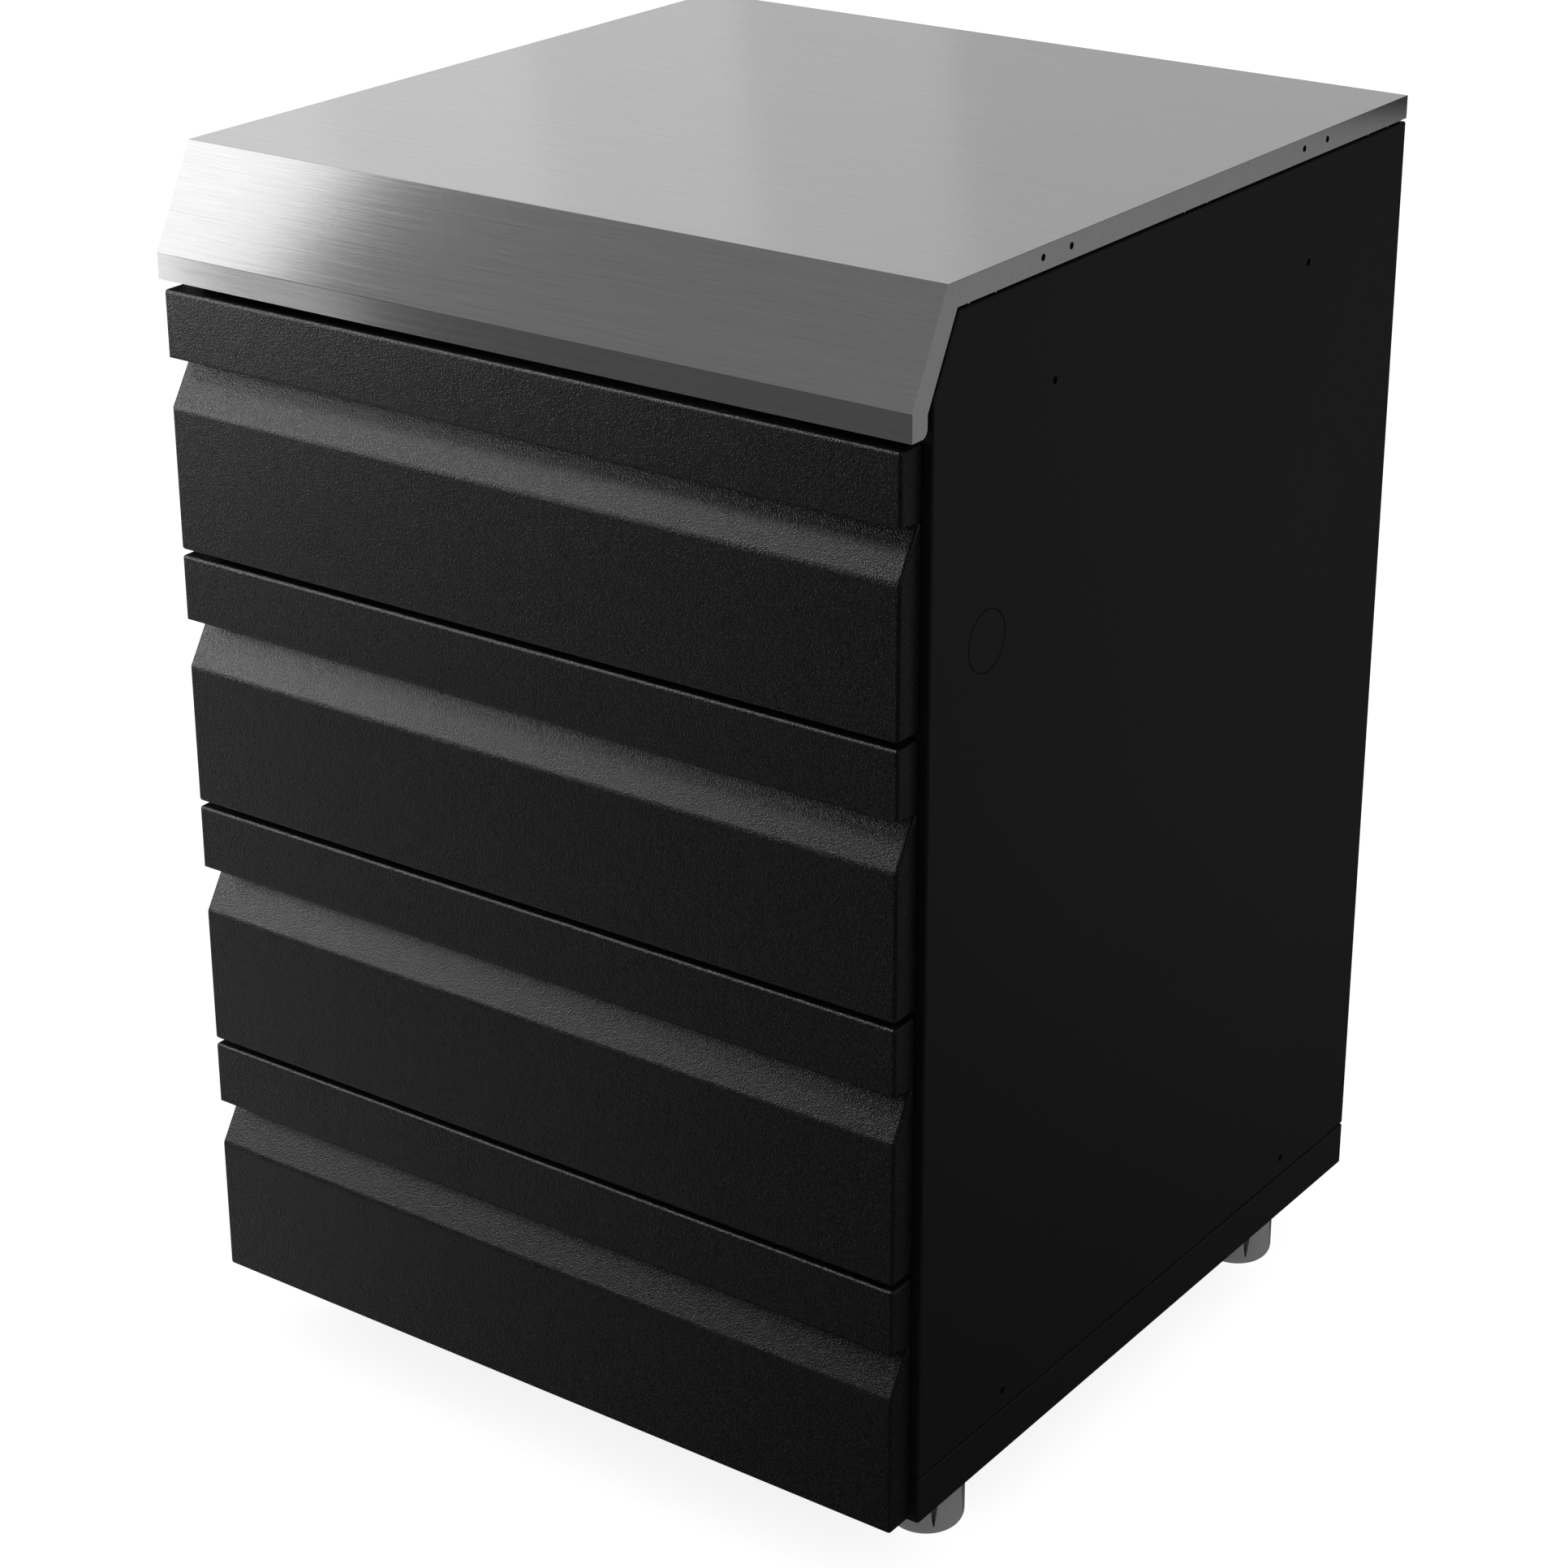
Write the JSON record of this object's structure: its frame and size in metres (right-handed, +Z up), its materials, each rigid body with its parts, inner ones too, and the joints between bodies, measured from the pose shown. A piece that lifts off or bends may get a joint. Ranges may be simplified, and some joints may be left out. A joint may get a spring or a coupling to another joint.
{
  "type": "drawer cabinet",
  "caption": "Under-worktop steel drawer cabinet with a sloped-front brushed cover, recessed finger pulls, telescopic slides and screw feet.",
  "frame": {"origin": "on the floor, under the middle of the cabinet", "axes": "+Z up, drawer fronts face -Y, +X to the right seen from the front"},
  "size_m": [0.6, 0.614, 0.895],
  "materials": {
    "brushed_stainless": "grain brushed along the width",
    "satin_black_coat": "satin powder coat",
    "textured_black_coat": "finely textured powder coat",
    "zinc_plate": "bright zinc plate",
    "grey_plastic": "matt moulded plastic"
  },
  "bodies": {
    "cabinet": {"worktop_cover": "brushed_stainless", "worktop_rail_front": "zinc_plate", "worktop_rail_middle": "zinc_plate", "worktop_rail_rear": "zinc_plate", "left_side_panel": "satin_black_coat", "right_side_panel": "satin_black_coat", "back_panel": "satin_black_coat", "base_pan": "satin_black_coat", "upright_front_left": "zinc_plate", "upright_front_right": "zinc_plate", "upright_rear_left": "zinc_plate", "upright_rear_right": "zinc_plate", "slide_outer_1_left": "zinc_plate", "slide_outer_1_right": "zinc_plate", "slide_outer_2_left": "zinc_plate", "slide_outer_2_right": "zinc_plate", "slide_outer_3_left": "zinc_plate", "slide_outer_3_right": "zinc_plate", "slide_outer_4_left": "zinc_plate", "slide_outer_4_right": "zinc_plate", "foot_socket_front_left": "zinc_plate", "foot_socket_front_right": "zinc_plate", "foot_socket_rear_left": "zinc_plate", "foot_socket_rear_right": "zinc_plate"},
    "drawer_1": {"drawer_front_1": "textured_black_coat", "drawer_band_1": "textured_black_coat", "drawer_box_1": "satin_black_coat", "slide_inner_1_left": "zinc_plate", "slide_inner_1_right": "zinc_plate"},
    "drawer_1_middle": {"slide_middle_1_left": "zinc_plate", "slide_middle_1_right": "zinc_plate"},
    "drawer_2": {"drawer_front_2": "textured_black_coat", "drawer_band_2": "textured_black_coat", "drawer_box_2": "satin_black_coat", "slide_inner_2_left": "zinc_plate", "slide_inner_2_right": "zinc_plate"},
    "drawer_2_middle": {"slide_middle_2_left": "zinc_plate", "slide_middle_2_right": "zinc_plate"},
    "drawer_3": {"drawer_front_3": "textured_black_coat", "drawer_band_3": "textured_black_coat", "drawer_box_3": "satin_black_coat", "slide_inner_3_left": "zinc_plate", "slide_inner_3_right": "zinc_plate"},
    "drawer_3_middle": {"slide_middle_3_left": "zinc_plate", "slide_middle_3_right": "zinc_plate"},
    "drawer_4": {"drawer_front_4": "textured_black_coat", "drawer_band_4": "textured_black_coat", "drawer_box_4": "satin_black_coat", "slide_inner_4_left": "zinc_plate", "slide_inner_4_right": "zinc_plate"},
    "drawer_4_middle": {"slide_middle_4_left": "zinc_plate", "slide_middle_4_right": "zinc_plate"},
    "foot_front_left": {"foot_pad_front_left": "grey_plastic", "foot_spindle_front_left": "zinc_plate"},
    "foot_front_right": {"foot_pad_front_right": "grey_plastic", "foot_spindle_front_right": "zinc_plate"},
    "foot_rear_left": {"foot_pad_rear_left": "grey_plastic", "foot_spindle_rear_left": "zinc_plate"},
    "foot_rear_right": {"foot_pad_rear_right": "grey_plastic", "foot_spindle_rear_right": "zinc_plate"}
  },
  "joints": [
    {"name": "drawer_1_slide", "type": "slide", "parent": "cabinet", "child": "drawer_1", "axis": [0, -1, 0], "range_m": [0, 0.5]},
    {"name": "drawer_1_middle_slide", "type": "slide", "parent": "cabinet", "child": "drawer_1_middle", "axis": [0, -1, 0], "range_m": [0, 0.25]},
    {"name": "drawer_2_slide", "type": "slide", "parent": "cabinet", "child": "drawer_2", "axis": [0, -1, 0], "range_m": [0, 0.5]},
    {"name": "drawer_2_middle_slide", "type": "slide", "parent": "cabinet", "child": "drawer_2_middle", "axis": [0, -1, 0], "range_m": [0, 0.25]},
    {"name": "drawer_3_slide", "type": "slide", "parent": "cabinet", "child": "drawer_3", "axis": [0, -1, 0], "range_m": [0, 0.5]},
    {"name": "drawer_3_middle_slide", "type": "slide", "parent": "cabinet", "child": "drawer_3_middle", "axis": [0, -1, 0], "range_m": [0, 0.25]},
    {"name": "drawer_4_slide", "type": "slide", "parent": "cabinet", "child": "drawer_4", "axis": [0, -1, 0], "range_m": [0, 0.5]},
    {"name": "drawer_4_middle_slide", "type": "slide", "parent": "cabinet", "child": "drawer_4_middle", "axis": [0, -1, 0], "range_m": [0, 0.25]},
    {"name": "foot_front_left_height", "type": "slide", "parent": "cabinet", "child": "foot_front_left", "axis": [0, 0, -1], "range_m": [-0.008, 0.008]},
    {"name": "foot_front_right_height", "type": "slide", "parent": "cabinet", "child": "foot_front_right", "axis": [0, 0, -1], "range_m": [-0.008, 0.008]},
    {"name": "foot_rear_left_height", "type": "slide", "parent": "cabinet", "child": "foot_rear_left", "axis": [0, 0, -1], "range_m": [-0.008, 0.008]},
    {"name": "foot_rear_right_height", "type": "slide", "parent": "cabinet", "child": "foot_rear_right", "axis": [0, 0, -1], "range_m": [-0.008, 0.008]}
  ],
  "couplings": [
    {"joint": "drawer_1_middle_slide", "follows": "drawer_1_slide", "ratio": 0.5},
    {"joint": "drawer_2_middle_slide", "follows": "drawer_2_slide", "ratio": 0.5},
    {"joint": "drawer_3_middle_slide", "follows": "drawer_3_slide", "ratio": 0.5},
    {"joint": "drawer_4_middle_slide", "follows": "drawer_4_slide", "ratio": 0.5}
  ]
}
